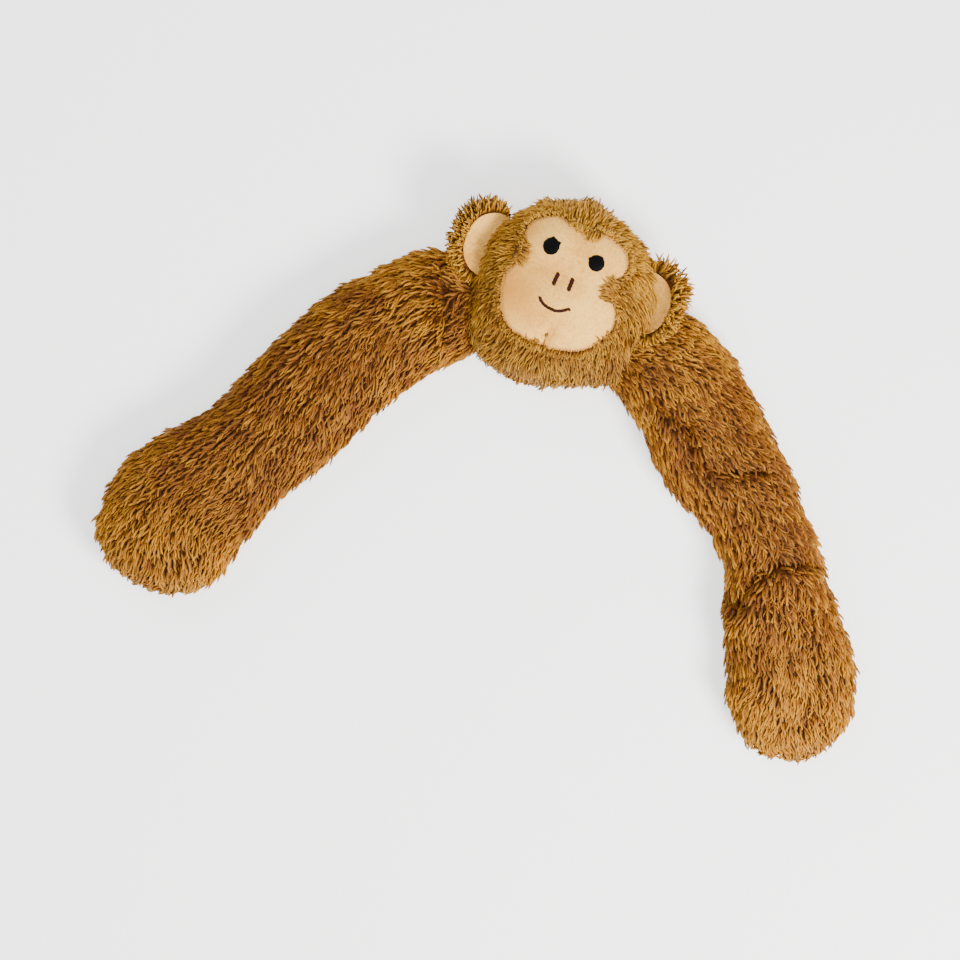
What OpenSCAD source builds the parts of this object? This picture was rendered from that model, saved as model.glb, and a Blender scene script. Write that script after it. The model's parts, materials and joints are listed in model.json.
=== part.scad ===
// Long-armed plush monkey: a flat-backed stuffed head with a face patch and two ears, and two long
// floppy arms that end in paddle hands. It lies on its back, face up, on the plane z = 0.
// +Y runs from the chin to the crown, +X to the viewer's right, +Z out of the face.
// Left and right are the viewer's, looking at the face.

/* [Head] */
// Width of the head between its side seams
head_w = 94; // [88:1:100]
// Height of the head from chin to crown
head_h = 106; // [100:1:112]
// How far the face stands in front of the side seams
head_front = 32; // [28:1:36]
// How far the side seams lie above the flat rest on the back
head_seam_z = 30; // [26:1:34]
// Thickness of the plush panels, backing and pressed pile together
panel_t = 4; // [3:0.5:5]

/* [Face] */
// Radius of the two rounded lobes of the face patch round the eyes
lobe_r = 17; // [15:0.5:18]
// Distance of a lobe's centre from the middle of the face
lobe_x = 13.8; // [12:0.2:15]
// Height of the lobes' centres on the face
lobe_y = 24.5; // [22:0.5:27]
// Half the width of the muzzle part of the patch
muzzle_rx = 34.5; // [30:0.5:36]
// Half the height of the muzzle part of the patch
muzzle_ry = 25.5; // [22:0.5:27]
// Height of the muzzle's centre on the face
muzzle_y = -6; // [-9:0.5:-4]
// Thickness of the patch cloth
patch_t = 1.6; // [1:0.1:2.5]
// Distance of an eye from the middle of the face
eye_x = 14; // [12:0.5:15]
// Height of the eyes on the face
eye_y = 24; // [21:0.5:26]
// Diameter of an embroidered eye
eye_d = 10; // [8:0.5:12]
// Width of an embroidered line
thread_w = 2; // [1.5:0.1:3]
// How far the embroidery stands on the patch
thread_t = 0.9; // [0.6:0.1:1.5]

/* [Ears] */
// How far an ear stands out from its base
ear_reach = 23; // [18:1:26]
// Height of an ear along its base
ear_h = 45; // [36:1:48]
// Height of the ears' centres on the head
ear_y = 12; // [8:1:16]
// Thickness of the plush back of an ear
ear_t = 6; // [4:0.5:7]
// Angle at which the ears lean forward
ear_lean = 20; // [10:1:30]

/* [Arms] */
// Width of the upper arm, which is also the width of the elbow
arm_w = 64; // [58:1:68]
// Width of the arm at the wrist
wrist_w = 56; // [50:1:60]
// Width of the hand
hand_w = 80; // [70:1:86]
// How far the arms stand in front of their side seams
arm_front = 22; // [18:1:24]
// How far the arms' side seams lie above the table
arm_seam_z = 20; // [18:1:22]
// Length from the shoulder's pivot to the elbow's
upper_arm_len = 90; // [80:1:100]
// Length from the elbow's pivot to the wrist's
forearm_len = 72; // [64:1:80]
// Length from the wrist's pivot to the end of the hand
hand_len = 88; // [80:1:92]
// Diameter of the gathered neck between head and arm
gather_d = 26; // [20:1:30]

/* [Lie] */
// Direction of the left upper arm on the table, anticlockwise from +X
left_upper_heading = -126; // [-150:1:-110]
// Direction of the left forearm
left_forearm_heading = -116; // [-140:1:-95]
// Direction of the left hand
left_hand_heading = -104; // [-130:1:-85]
// Direction of the right upper arm
right_upper_heading = -30; // [-50:1:-10]
// Direction of the right forearm
right_forearm_heading = -49; // [-75:1:-30]
// Direction of the right hand
right_hand_heading = -68; // [-90:1:-50]

/* [Travel] */
// Greatest bend of an elbow to either side
elbow_bend = 70; // [30:5:75]
// Greatest fold of a wrist
wrist_fold = 90; // [45:5:90]

/* [Hidden] */

FUR = [0.66, 0.44, 0.18];
CREAM = [0.86, 0.74, 0.55];
EYE_BLACK = [0.03, 0.03, 0.03];
THREAD_BROWN = [0.24, 0.13, 0.08];
FIBRE = [0.95, 0.95, 0.93];
PLASTIC = [0.85, 0.87, 0.9];

LEFT = -1;
RIGHT = 1;
FRONT = 0;
BACK = 180;
gap = 0.5; // clearance between pieces that don't touch
rest_bite = 3; // how far a rounded back is flattened where it rests
free = 1000; // a level that nothing reaches
front_power = 2.3; // roundness of a section in front of the seams, where 2 is an ellipse
back_power = 2.7; // roundness of a section behind the seams
plan_power = 2.25; // roundness of the head's outline seen from the front
pole = 0.95; // share of the head's half height at which its sections stop
open_end = 0.26; // share of a section that is left at the closed end of an arm length
shoulder_bevel = 17; // how far the upper arm's sides are cut back at the shoulder
throat = 6; // half the width of the upper arm that starts right at the gather
wrist_keep = 0.7; // how far the forearm keeps its width where it rounds off at the wrist
arc_steps = 10; // steps round half a section of an arm
head_arc_steps = 20; // steps round half a section of the head
head_rings = 16; // steps along the head
span_steps = 6; // steps along an arm length
cap_steps = 5; // steps along its rounded end
seam_drop = 18; // how far below the head's middle the arms leave it
squeaker_r = 9;
squeaker_len = 34;
reed_r = 5;
reed_len = 9;
reed_hole_r = 1.5;
bulb_wall = 1.2;
fit = 0.05; // play between pieces that are pressed together

// ---------- sections and lofts ----------

function mix(a, b, t) = a + (b - a) * t;
function clamp01(t) = min(max(t, 0), 1);
function smooth(t) = let (c = clamp01(t)) c * c * (3 - 2 * c);
function power_cos(t, e) = sign(cos(t)) * pow(abs(cos(t)), 2 / e);
function power_sin(t, e) = sign(sin(t)) * pow(abs(sin(t)), 2 / e);
function toward(angle) = [cos(angle), sin(angle)];
function super(u, e) = pow(max(1 - pow(abs(u), e), 0), 1 / e);

// A half section from angle side to side + 180, half width a and half height b, no lower than floor_z
function half_section(a, b, side, steps, floor_z) =
    let (e = side == FRONT ? front_power : back_power)
    [for (i = [0:steps]) let (t = side + 180 * i / steps)
        [a * power_cos(t, e), max(b * power_sin(t, e), floor_z)]];

// The C-shaped section of a panel: its outside, then its inside the other way
function panel_section(a, b, side, steps, floor_z) = concat(
    half_section(a, b, side, steps, floor_z),
    reversed(half_section(a - panel_t, b - panel_t, side, steps, floor_z + panel_t))
);

// The whole oval section of what fills the panels, pull less than the outside
function fill_section(a, front, back, steps, pull, floor_z) =
    [for (i = [0:2 * steps - 1])
        let (t = 180 * (i + 0.5) / steps, e = t < 180 ? front_power : back_power,
            b = (t < 180 ? front : back) - pull)
        [(a - pull) * power_cos(t, e), max(b * power_sin(t, e), floor_z + pull)]];

function reversed(list) = [for (i = [len(list) - 1:-1:0]) list[i]];

// Sets a flat section, a list of [across, up], at a distance along X, with its middle at across and up
function stand(section, along, across, up) = [for (p = section) [along, across + p[0], up + p[1]]];

// Skins a stack of closed rings of equal length and closes both ends. Rings with an even number of points
// are closed by a strip across them, from each point to its mate counted from the ring's other end.
module skin(rings) {
    n = len(rings[0]);
    last = len(rings) - 1;
    sides = [for (i = [0:last - 1], j = [0:n - 1]) let (k = (j + 1) % n, a = i * n, b = a + n)
        each [[a + j, b + j, b + k], [a + j, b + k, a + k]]];
    ends = [for (j = [0:n / 2 - 2]) let (a = n - 1 - j, e = last * n)
        each [
            [j, j + 1, a], [j + 1, a - 1, a],
            [e + j, e + a, e + j + 1], [e + j + 1, e + a, e + a - 1]
        ]];
    polyhedron([for (r = rings) each r], concat(sides, ends), convexity = 6);
}

// Skins a hollow tube between an outer and an inner stack of rings
module skin_tube(outer, inner) {
    n = len(outer[0]);
    last = len(outer) - 1;
    shift = len(outer) * n;
    walls = [for (i = [0:last - 1], j = [0:n - 1]) let (k = (j + 1) % n, a = i * n, b = a + n)
        each [
            [a + j, b + j, b + k], [a + j, b + k, a + k],
            [shift + a + j, shift + b + k, shift + b + j], [shift + a + j, shift + a + k, shift + b + k]
        ]];
    rims = [for (j = [0:n - 1]) let (k = (j + 1) % n, e = last * n)
        each [
            [j, k, shift + k], [j, shift + k, shift + j],
            [e + j, e + shift + k, e + k], [e + j, e + shift + j, e + shift + k]
        ]];
    points = concat([for (r = outer) each r], [for (r = inner) each r]);
    polyhedron(points, concat(walls, rims), convexity = 6);
}

// ---------- head ----------

// Stations along the head, from -pole at the chin to pole at the crown, closer together at the ends
function head_stations(steps) = [for (i = [0:steps]) pole * sin(-90 + 180 * i / steps)];
function head_half_w(u) = head_w / 2 * super(u, plan_power);
function head_front_h(u) = head_front * super(u, front_power);
function head_back_h(u) = (head_seam_z + rest_bite) * super(u, front_power);

// Height of the head's front surface above the table at x, y
function face_z(x, y) = let (u = y / (head_h / 2))
    head_seam_z + head_front_h(u) * super(x / head_half_w(u), front_power);

module head_panel(side)
    rotate([0, 0, 90])
    skin([for (u = head_stations(head_rings))
        stand(panel_section(head_half_w(u), side == FRONT ? head_front_h(u) : head_back_h(u), side,
            head_arc_steps, side == FRONT ? -free : -head_seam_z), u * head_h / 2, 0, head_seam_z)]);

module head_front_panel()
    color(FUR)
    head_panel(FRONT);

module head_back_panel()
    color(FUR)
    head_panel(BACK);

// The fibre ball, with a channel from chin to crown that holds the squeaker
module head_stuffing() {
    fill_share = 0.9; // of the panels' length
    taper = 0.8; // how much the channel follows the head's outline
    channel_r = squeaker_r + 2 * gap;
    rings = 10;
    steps = 12;
    stations = [for (u = head_stations(rings)) u * fill_share];
    color(FIBRE)
    rotate([0, 0, 90])
    skin_tube(
        [for (u = stations)
            stand(fill_section(head_half_w(u), head_front_h(u), head_back_h(u), steps, panel_t + gap,
                -head_seam_z), u * head_h / 2, 0, head_seam_z)],
        [for (u = stations) let (r = channel_r * super(u * taper, plan_power))
            stand([for (i = [0:2 * steps - 1]) r * toward(180 * (i + 0.5) / steps)],
                u * head_h / 2, 0, head_seam_z)]
    );
}

// ---------- face ----------

hub_y = 5; // height of the point on the face that the patch's outline is measured from
embroidery_lift = 0.05; // how far embroidery stands clear of the patch

// How far a ray from the hub at angle t reaches into an ellipse
function reach(t, centre, semi) =
    let (
        d = [cos(t) / semi[0], sin(t) / semi[1]],
        o = [-centre[0] / semi[0], (hub_y - centre[1]) / semi[1]],
        b = d * o,
        a = d * d,
        q = b * b - a * (o * o - 1)
    )
    q < 0 ? 0 : (-b + sqrt(q)) / a;

function patch_reach(t) = max(
    reach(t, [0, muzzle_y], [muzzle_rx, muzzle_ry]),
    reach(t, [lobe_x, lobe_y], [lobe_r, lobe_r]),
    reach(t, [-lobe_x, lobe_y], [lobe_r, lobe_r])
);

// A thin solid on the face: points is its outline about the middle, from low to high above the fur panel
module on_face(middle, outline, rings, low, high) {
    n = len(outline);
    flat = [for (k = [1:rings], p = outline) middle + (p - middle) * k / rings];
    sheet = concat([middle], flat);
    m = len(sheet);
    top = [for (p = sheet) [p[0], p[1], face_z(p[0], p[1]) + high]];
    bottom = [for (p = sheet) [p[0], p[1], face_z(p[0], p[1]) + low]];
    hubs = [for (j = [0:n - 1]) let (k = (j + 1) % n)
        each [[0, 1 + k, 1 + j], [m, m + 1 + j, m + 1 + k]]];
    bands = [for (i = [0:1:rings - 2], j = [0:n - 1])
        let (k = (j + 1) % n, a = 1 + i * n, b = a + n)
        each [
            [a + j, b + k, b + j], [a + j, a + k, b + k],
            [m + a + j, m + b + j, m + b + k], [m + a + j, m + b + k, m + a + k]
        ]];
    edge = 1 + (rings - 1) * n;
    rim = [for (j = [0:n - 1]) let (k = (j + 1) % n)
        each [[edge + j, edge + k, m + edge + k], [edge + j, m + edge + k, m + edge + j]]];
    polyhedron(concat(top, bottom), concat(hubs, bands, rim), convexity = 4);
}

patch_top = gap + patch_t;

module face_patch() {
    steps = 48;
    rings = 6;
    hub = [0, hub_y];
    outline = [for (i = [0:steps - 1]) let (t = 360 * i / steps) hub + patch_reach(t) * toward(t)];
    color(CREAM)
    on_face(hub, outline, rings, gap, patch_top);
}

module eye_embroidery(side) {
    steps = 20;
    rings = 2;
    tallness = 1.1; // height of the eye as a share of its width
    middle = [side * eye_x, eye_y];
    outline = [for (i = [0:steps - 1]) let (t = 360 * i / steps)
        middle + eye_d / 2 * [cos(t), tallness * sin(t)]];
    color(EYE_BLACK)
    on_face(middle, outline, rings, patch_top + embroidery_lift, patch_top + thread_t);
}

module left_eye_embroidery() eye_embroidery(LEFT);
module right_eye_embroidery() eye_embroidery(RIGHT);

// A stitched line along path, a list of [x, y], on the face
module stitched_line(path) {
    last = len(path) - 1;
    skin([for (i = [0:last])
        let (
            d = path[min(i + 1, last)] - path[max(i - 1, 0)],
            across = [-d[1], d[0]] / norm(d) * thread_w / 2,
            a = path[i] + across,
            b = path[i] - across,
            low = patch_top + embroidery_lift,
            high = patch_top + thread_t
        )
        [
            [a[0], a[1], face_z(a[0], a[1]) + low], [b[0], b[1], face_z(b[0], b[1]) + low],
            [b[0], b[1], face_z(b[0], b[1]) + high], [a[0], a[1], face_z(a[0], a[1]) + high]
        ]]);
}

module nostril_embroidery() {
    nostril_x = 4.8;
    nostril_top = 11;
    nostril_len = 7.5;
    bow = 0.6; // how far the line bows outward at its middle
    steps = 4;
    color(THREAD_BROWN)
    for (side = [LEFT, RIGHT])
        stitched_line([for (i = [0:steps])
            [side * (nostril_x + bow * sin(180 * i / steps)), nostril_top - nostril_len * i / steps]]);
}

module mouth_embroidery() {
    mouth_r = 12.6;
    mouth_y = -10.5;
    half_angle = 49;
    steps = 12;
    color(THREAD_BROWN)
    stitched_line([for (i = [0:steps]) let (t = -90 - half_angle + 2 * half_angle * i / steps)
        [mouth_r * cos(t), mouth_y + mouth_r + mouth_r * sin(t)]]);
}

// ---------- squeaker ----------

// Lays what is drawn upright along the head, with its foot at the chin end
module lay_squeaker()
    translate([0, -squeaker_len / 2, head_seam_z])
    rotate([-90, 0, 0])
    children();

module squeaker_bulb()
    color(PLASTIC)
    lay_squeaker()
    rotate_extrude($fn = 48)
    difference() {
        union() {
            bulb_outline(0);
            square([reed_r + bulb_wall, reed_len]);
        }
        bulb_outline(bulb_wall);
        square([reed_r, reed_len]);
    }

// Half the profile of the bulb's hollow body, pulled in by inset
module bulb_outline(inset) {
    neck = 4;
    half_len = (squeaker_len - neck) / 2;
    steps = 16;
    polygon([for (i = [0:steps]) let (t = -90 + 180 * i / steps)
        [(squeaker_r - inset) * cos(t), neck + half_len + (half_len - inset) * sin(t)]]);
}

module squeaker_reed()
    color(PLASTIC)
    lay_squeaker()
    rotate_extrude($fn = 48)
    translate([reed_hole_r, 0])
    square([reed_r - fit - reed_hole_r, reed_len - fit]);

// ---------- ears ----------

ear_room = 0.8; // how far an ear's root stays clear of the head's side seam
ear_rise = 4; // how far in front of the side seams the ears are sewn on
ear_pivot_x = head_w / 2 + ear_t / 2 + ear_room;
ear_pivot_z = head_seam_z + ear_rise;

// Places a flat ear drawn in its own plane, reaching along +X from its base
module place_ear(side)
    translate([side * ear_pivot_x, ear_y, ear_pivot_z])
    mirror([side == LEFT ? 1 : 0, 0, 0])
    rotate([0, -ear_lean, 0])
    children();

// A rounded flap that reaches out from a straight base
module flap(start, reach_out, half_h) {
    steps = 24;
    polygon([for (i = [0:steps]) let (t = -90 + 180 * i / steps)
        [start + (reach_out - start) * power_cos(t, plan_power), half_h * power_sin(t, plan_power)]]);
}

module ear_back(side)
    color(FUR)
    place_ear(side)
    translate([0, 0, -ear_t / 2])
    linear_extrude(ear_t)
    flap(0, ear_reach, ear_h / 2);

module ear_lining(side) {
    rim = 6; // width of the fur that shows round the lining
    tuck = 5; // how far out from the ear's root the lining starts
    color(CREAM)
    place_ear(side)
    translate([0, 0, ear_t / 2])
    linear_extrude(patch_t)
    flap(tuck, ear_reach - rim, (ear_h - rim) / 2);
}

module left_ear_back() ear_back(LEFT);
module left_ear_lining() ear_lining(LEFT);
module right_ear_back() ear_back(RIGHT);
module right_ear_lining() ear_lining(RIGHT);

// ---------- arms ----------

elbow_r = arm_w / 2;
wrist_r = arm_front;
shoulder_room = gather_d / 2 + gap;
hand_fill_start = 0.62 * wrist_r; // the flat end of the hand's filling stays clear of the round wrist

function upper_heading(side) = side == LEFT ? left_upper_heading : right_upper_heading;
function forearm_heading(side) = side == LEFT ? left_forearm_heading : right_forearm_heading;
function hand_heading(side) = side == LEFT ? left_hand_heading : right_hand_heading;

// Shoulder pivot: the middle of the gather, which just clears the head where the arm's seam is
function shoulder(side) =
    let (
        u = seam_drop / (head_h / 2),
        half_w = head_half_w(u),
        tilt = atan(u * head_w * head_w / (2 * head_h * half_w))
    )
    [side * (half_w + shoulder_room * cos(tilt)), -seam_drop - shoulder_room * sin(tilt)];
function elbow(side) = shoulder(side) + upper_arm_len * toward(upper_heading(side));
function wrist(side) = elbow(side) + forearm_len * toward(forearm_heading(side));

// How far past a pivot a point at offset v from its axis must start, to clear a round end of radius r
// when it bends towards that side by angle
function mouth(v, r, angle) =
    angle > 0 && v > r * cos(angle)
    ? (r - v * cos(angle)) / sin(angle)
    : sqrt(max(r * r - v * v, 0));

function shoulder_mouth(y, z) = shoulder_bevel
    * max(smooth((abs(y) - throat) / (elbow_r - throat)), smooth(z / arm_front));
function elbow_mouth(y) = mouth(abs(y), elbow_r + gap, elbow_bend);
// turned is the hand's direction less the forearm's, on whose own axis the hand folds
function wrist_mouth(y, z, turned) =
    (mouth(abs(z), wrist_r + gap, z > 0 ? wrist_fold : 0) + y * sin(turned)) / cos(turned);

// An arm length runs along its own X from a pivot at 0. It starts at a mouth that clears what it turns on,
// and its end rounds off from round_x on, over end_r. half_w and end_half_w are its half widths before
// and after widen_to; keep is the share of its width that the rounding leaves.
UPPER = 0;
FOREARM = 1;
HAND = 2;
ORIGIN = 0;
HEADING = 1;
ROUND_X = 2;
END_R = 3;
HALF_W = 4;
END_HALF_W = 5;
WIDEN_TO = 6;
KEEP = 7;
MOUTH = 8;
function arm_length(side, part) =
    part == UPPER ? [
        shoulder(side), upper_heading(side), upper_arm_len, elbow_r,
        elbow_r, elbow_r, upper_arm_len, 0,
        function(y, z) shoulder_mouth(y, z)
    ]
    : part == FOREARM ? [
        elbow(side), forearm_heading(side), forearm_len, wrist_r,
        elbow_r - 2 * gap, wrist_w / 2, forearm_len, wrist_keep,
        function(y, z) elbow_mouth(y)
    ]
    : [
        wrist(side), hand_heading(side), hand_len - hand_w / 2, hand_w / 2,
        wrist_w / 2, hand_w / 2, hand_len - hand_w / 2, 0,
        function(y, z) wrist_mouth(y, z, hand_heading(side) - forearm_heading(side))
    ];

// One ring of an arm length at x, shrunk to share of the full section; make(a, front, back) draws it flat
function arm_ring(l, x, share, make) =
    let (
        full_w = mix(l[HALF_W], l[END_HALF_W], smooth(x / l[WIDEN_TO])),
        half_w = full_w * mix(share, 1, l[KEEP] * sqrt(share)),
        section = make(half_w, arm_front * share, (arm_seam_z + rest_bite / 2) * share)
    )
    [for (p = section)
        [x + l[MOUTH](p[0], p[1]) * max(1 - x / l[ROUND_X], 0), p[0], arm_seam_z + p[1]]];

function arm_rings(l, start, make) = concat(
    [for (i = [0:span_steps]) arm_ring(l, mix(start, l[ROUND_X], i / span_steps), 1, make)],
    [for (i = [1:cap_steps]) let (t = acos(open_end) * i / cap_steps)
        arm_ring(l, l[ROUND_X] + l[END_R] * sin(t), cos(t), make)]
);

module arm_skin(side, part, start, make) {
    l = arm_length(side, part);
    translate([l[ORIGIN][0], l[ORIGIN][1], 0])
    rotate([0, 0, l[HEADING]])
    skin(arm_rings(l, start, make));
}

module arm_panel(side, part, face)
    color(FUR)
    arm_skin(side, part, 0, function(a, front, back)
        panel_section(a, face == FRONT ? front : back, face, arc_steps,
            face == FRONT ? -free : -arm_seam_z));

module arm_stuffing(side, part) {
    steps = 8;
    start = [shoulder_room, 2 * gap, hand_fill_start][part];
    color(FIBRE)
    arm_skin(side, part, start, function(a, front, back)
        fill_section(a, front, back, steps, panel_t + gap, -arm_seam_z));
}

module shoulder_gather(side)
    color(FUR)
    translate([shoulder(side)[0], shoulder(side)[1], arm_seam_z])
    sphere(d = gather_d, $fn = 48);

module left_shoulder_gather() shoulder_gather(LEFT);
module left_upper_arm_front_panel() arm_panel(LEFT, UPPER, FRONT);
module left_upper_arm_back_panel() arm_panel(LEFT, UPPER, BACK);
module left_upper_arm_stuffing() arm_stuffing(LEFT, UPPER);
module left_forearm_front_panel() arm_panel(LEFT, FOREARM, FRONT);
module left_forearm_back_panel() arm_panel(LEFT, FOREARM, BACK);
module left_forearm_stuffing() arm_stuffing(LEFT, FOREARM);
module left_hand_front_panel() arm_panel(LEFT, HAND, FRONT);
module left_hand_back_panel() arm_panel(LEFT, HAND, BACK);
module left_hand_stuffing() arm_stuffing(LEFT, HAND);

module right_shoulder_gather() shoulder_gather(RIGHT);
module right_upper_arm_front_panel() arm_panel(RIGHT, UPPER, FRONT);
module right_upper_arm_back_panel() arm_panel(RIGHT, UPPER, BACK);
module right_upper_arm_stuffing() arm_stuffing(RIGHT, UPPER);
module right_forearm_front_panel() arm_panel(RIGHT, FOREARM, FRONT);
module right_forearm_back_panel() arm_panel(RIGHT, FOREARM, BACK);
module right_forearm_stuffing() arm_stuffing(RIGHT, FOREARM);
module right_hand_front_panel() arm_panel(RIGHT, HAND, FRONT);
module right_hand_back_panel() arm_panel(RIGHT, HAND, BACK);
module right_hand_stuffing() arm_stuffing(RIGHT, HAND);

head_front_panel();
head_back_panel();
face_patch();
left_eye_embroidery();
right_eye_embroidery();
nostril_embroidery();
mouth_embroidery();
head_stuffing();
squeaker_bulb();
squeaker_reed();
left_ear_back();
left_ear_lining();
right_ear_back();
right_ear_lining();
left_shoulder_gather();
left_upper_arm_front_panel();
left_upper_arm_back_panel();
left_upper_arm_stuffing();
left_forearm_front_panel();
left_forearm_back_panel();
left_forearm_stuffing();
left_hand_front_panel();
left_hand_back_panel();
left_hand_stuffing();
right_shoulder_gather();
right_upper_arm_front_panel();
right_upper_arm_back_panel();
right_upper_arm_stuffing();
right_forearm_front_panel();
right_forearm_back_panel();
right_forearm_stuffing();
right_hand_front_panel();
right_hand_back_panel();
right_hand_stuffing();
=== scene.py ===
import json
import math

import bmesh
import bpy
import numpy as np
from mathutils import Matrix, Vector
from mathutils.bvhtree import BVHTree


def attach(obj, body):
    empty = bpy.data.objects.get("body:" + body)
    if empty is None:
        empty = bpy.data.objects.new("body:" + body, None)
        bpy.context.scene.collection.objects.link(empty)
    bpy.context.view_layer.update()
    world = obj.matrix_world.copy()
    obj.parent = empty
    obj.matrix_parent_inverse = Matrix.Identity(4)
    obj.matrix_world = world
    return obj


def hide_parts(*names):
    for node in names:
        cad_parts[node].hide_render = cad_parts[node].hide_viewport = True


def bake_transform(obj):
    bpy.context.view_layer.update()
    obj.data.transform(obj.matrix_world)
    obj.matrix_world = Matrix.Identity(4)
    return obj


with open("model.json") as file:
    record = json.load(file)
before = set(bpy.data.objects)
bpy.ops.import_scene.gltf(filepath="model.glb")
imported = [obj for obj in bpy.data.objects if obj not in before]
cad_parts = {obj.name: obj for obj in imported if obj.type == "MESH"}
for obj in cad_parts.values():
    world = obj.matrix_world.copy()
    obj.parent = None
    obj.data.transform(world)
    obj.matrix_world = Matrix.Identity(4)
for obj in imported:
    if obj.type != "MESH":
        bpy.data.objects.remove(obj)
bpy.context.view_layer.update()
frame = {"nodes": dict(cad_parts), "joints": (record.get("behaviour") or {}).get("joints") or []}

# Shapes are in millimetres until a mesh is made, lights and camera in metres. +Z is up, +Y runs from chin to
# crown, and left and right are the viewer's. s is a point's distance along an arm's middle line.
MM = 0.001
SIDES = ("left", "right")
SIGN = {"left": -1, "right": 1}
JOINTS = {j["name"]: np.array(j["pos_m"]) / MM for j in frame["joints"]}
UP = np.array([0.0, 0.0, 1.0])
random = np.random.default_rng(20)

PILE = 3.5  # depth of standing pile between the cloth backing and the CAD panel's outside
FLOOR_GAP = 0.4  # lowest that a hair lies
REST_Z = 2.6  # height at which the backing rests on its own crushed pile
EASE = 4.0  # height over which a cover's side turns into its flat rest
VOXEL = 4.2  # grain of the mesh that a cover is blown up from
SWELL = 2.0  # furthest that a cover's cloth moves as it is blown up
SIM_FRAMES = 20  # steps that the cloth is simulated for
CLOTH = {
    "quality": 6, "mass": 0.2, "tension_stiffness": 12, "compression_stiffness": 12, "shear_stiffness": 5,
    "bending_stiffness": 0.4, "use_pressure": True, "uniform_pressure_force": 4,
}

# ---------------- mesh helpers


def add_object(name, data):
    obj = bpy.data.objects.new(name, data)
    bpy.context.scene.collection.objects.link(obj)
    return obj


def poly_mesh(name, points, faces):
    mesh = bpy.data.meshes.new(name)
    mesh.from_pydata((np.asarray(points, float) * MM).tolist(), [], faces)
    mesh.update()
    mesh.shade_smooth()
    return add_object(name, mesh)


def vertex_vectors(obj, attribute):
    flat = np.empty(len(obj.data.vertices) * 3, np.float32)
    obj.data.vertices.foreach_get(attribute, flat)
    return flat.reshape(-1, 3).astype(float)


def points_of(obj):
    return vertex_vectors(obj, "co") / MM


def set_points(obj, points):
    obj.data.vertices.foreach_set("co", (np.asarray(points) * MM).astype(np.float32).ravel())
    obj.data.update()


def unit(vectors):
    return vectors / np.maximum(np.linalg.norm(vectors, axis=-1, keepdims=True), 1e-9)


def level(xy, z=0.0):
    """Three-part vectors from x, y pairs."""
    return np.c_[xy, np.full(len(xy), z)]


def left_of(way):
    """The level direction to the left of each x, y direction."""
    return level(np.c_[-way[:, 1], way[:, 0]])


def compass(angle):
    """The x, y direction at each angle."""
    return np.stack([np.cos(angle), np.sin(angle)], 1)


def full_turn(steps):
    return np.arange(steps) / steps * 2 * math.pi


def distance_along(points):
    return np.r_[0, np.cumsum(np.linalg.norm(np.diff(points, axis=0), axis=1))]


def smooth_track(rows, along, at, passes):
    """Reads rows, which lie along apart, at new places and smooths them, leaving both ends where they are."""
    track = np.stack([np.interp(at, along, column) for column in rows.T], 1)
    for _ in range(passes):
        track[1:-1] = (track[:-2] + 2 * track[1:-1] + track[2:]) / 4
    return track


def bell(distance, width):
    return np.exp(-(distance / width) ** 2)


def smoothstep(share):
    share = np.clip(share, 0, 1)
    return share * share * (3 - 2 * share)


def lattice_noise(points, pitch, seed):
    """Smooth noise from -1 to 1 at each point, with bumps about pitch apart."""
    place = np.asarray(points, float) / pitch
    base = np.floor(place).astype(np.int64)
    part = smoothstep(place - base)
    total = np.zeros(len(place))
    for corner in range(8):
        step = np.array([corner & 1, corner >> 1 & 1, corner >> 2])
        cell = base + step
        mixed = cell[:, 0] * 73856093 ^ cell[:, 1] * 19349663 ^ cell[:, 2] * 83492791 ^ seed * 2654435761
        mixed = (mixed ^ mixed >> 13) * 1274126177 & 0x7FFFFFFF
        value = (mixed % 65536) / 32767.5 - 1
        weight = np.prod(np.where(step == 1, part, 1 - part), axis=1)
        total += value * weight
    return total


def closed_loft(name, rings):
    """A closed mesh through rings of equal length, with a fan over each end."""
    around = len(rings[0])
    points = [point for ring in rings for point in ring]
    faces = []
    for i in range(len(rings) - 1):
        for j in range(around):
            k = (j + 1) % around
            faces.append((i * around + j, i * around + k, (i + 1) * around + k, (i + 1) * around + j))
    for row in (0, len(rings) - 1):
        hub = len(points)
        points.append(np.mean(rings[row], axis=0))
        for j in range(around):
            a, b = row * around + j, row * around + (j + 1) % around
            faces.append((hub, b, a) if row == 0 else (hub, a, b))
    return poly_mesh(name, points, faces)


def super_section(half_w, front, back, power_front, power_back):
    """An oval section: half_w to each side, front above the seams and back below them."""
    angle = full_turn(48)
    power = np.where(np.sin(angle) >= 0, power_front, power_back)
    height = np.where(np.sin(angle) >= 0, front, back)
    return np.stack([
        half_w * np.sign(np.cos(angle)) * np.abs(np.cos(angle)) ** (2 / power),
        height * np.sign(np.sin(angle)) * np.abs(np.sin(angle)) ** (2 / power),
    ], 1)


# ---------------- cloth


def apply_modifiers(obj):
    graph = bpy.context.evaluated_depsgraph_get()
    mesh = bpy.data.meshes.new_from_object(obj.evaluated_get(graph))
    old = obj.data
    obj.modifiers.clear()
    obj.data = mesh
    bpy.data.meshes.remove(old)
    obj.data.shade_smooth()


def remesh(obj, voxel):
    mod = obj.modifiers.new("remesh", "REMESH")
    mod.mode = "VOXEL"
    mod.voxel_size = voxel * MM
    apply_modifiers(obj)


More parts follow.
